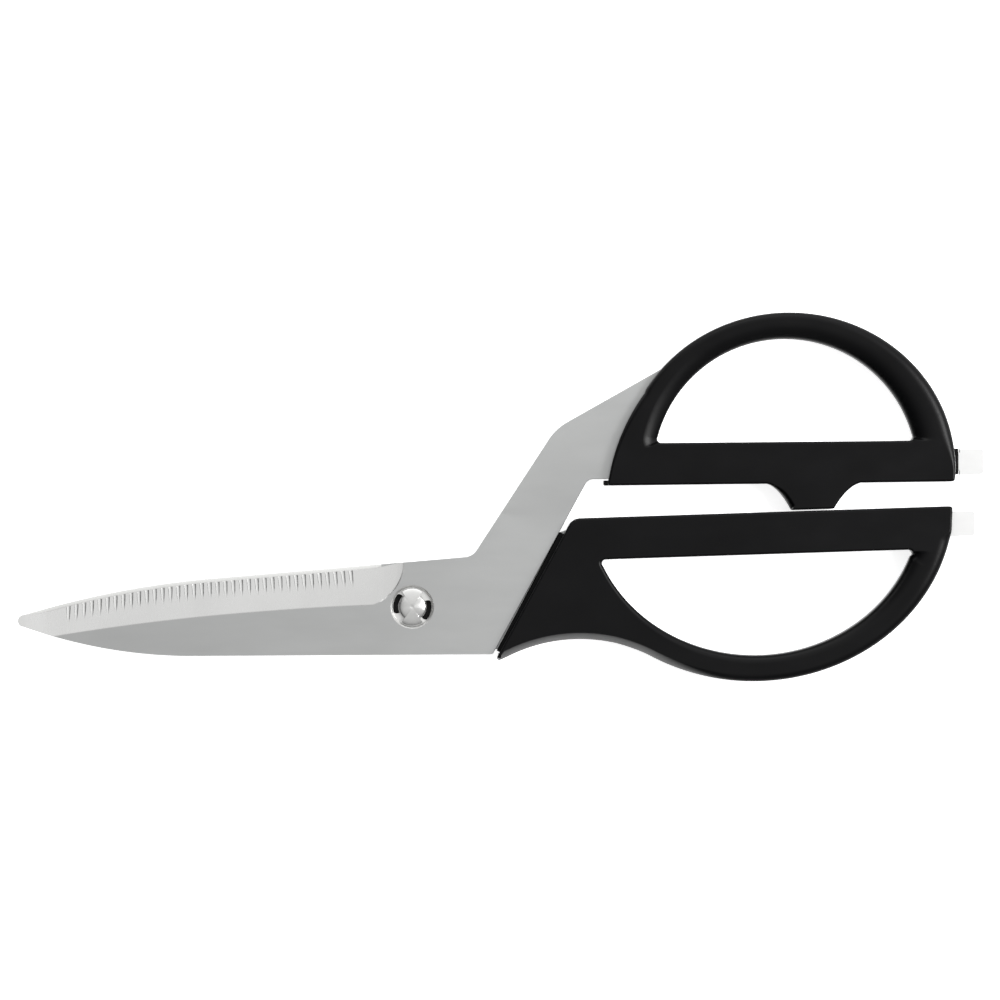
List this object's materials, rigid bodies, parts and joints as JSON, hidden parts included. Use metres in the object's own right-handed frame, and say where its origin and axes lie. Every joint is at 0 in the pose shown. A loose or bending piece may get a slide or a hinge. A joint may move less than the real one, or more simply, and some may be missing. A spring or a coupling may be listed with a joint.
{
  "type": "poultry shears",
  "caption": "Take-apart poultry shears: long ground blades, one serrated, on an angled shank, a winged pivot stud in a curved keyway and D-shaped plastic finger loops.",
  "frame": {"origin": "on the pivot axis, at the plane the closed shears rest on, which is the flat of the stud's rear rivet head", "axes": "+Z along the pivot axis towards the winged stud head, +X from the pivot towards the finger loops, +Y towards the upper finger loop"},
  "size_m": [0.2501, 0.0954, 0.01],
  "materials": {
    "blade_steel": "fine satin grind",
    "stud_steel": "turned, bright",
    "black_plastic": "satin moulded",
    "black_nylon": "matt"
  },
  "bodies": {
    "back_half": {"back_blade": "blade_steel", "lower_handle": "black_plastic", "pivot_stud": "stud_steel", "pivot_washer": "black_nylon"},
    "front_half": {"front_blade": "blade_steel", "upper_handle": "black_plastic"}
  },
  "joints": [
    {"name": "blade_pivot", "type": "hinge", "parent": "back_half", "child": "front_half", "pos_m": [0, 0, 0], "axis": [0, 0, 1], "range_deg": [0, 102]}
  ]
}
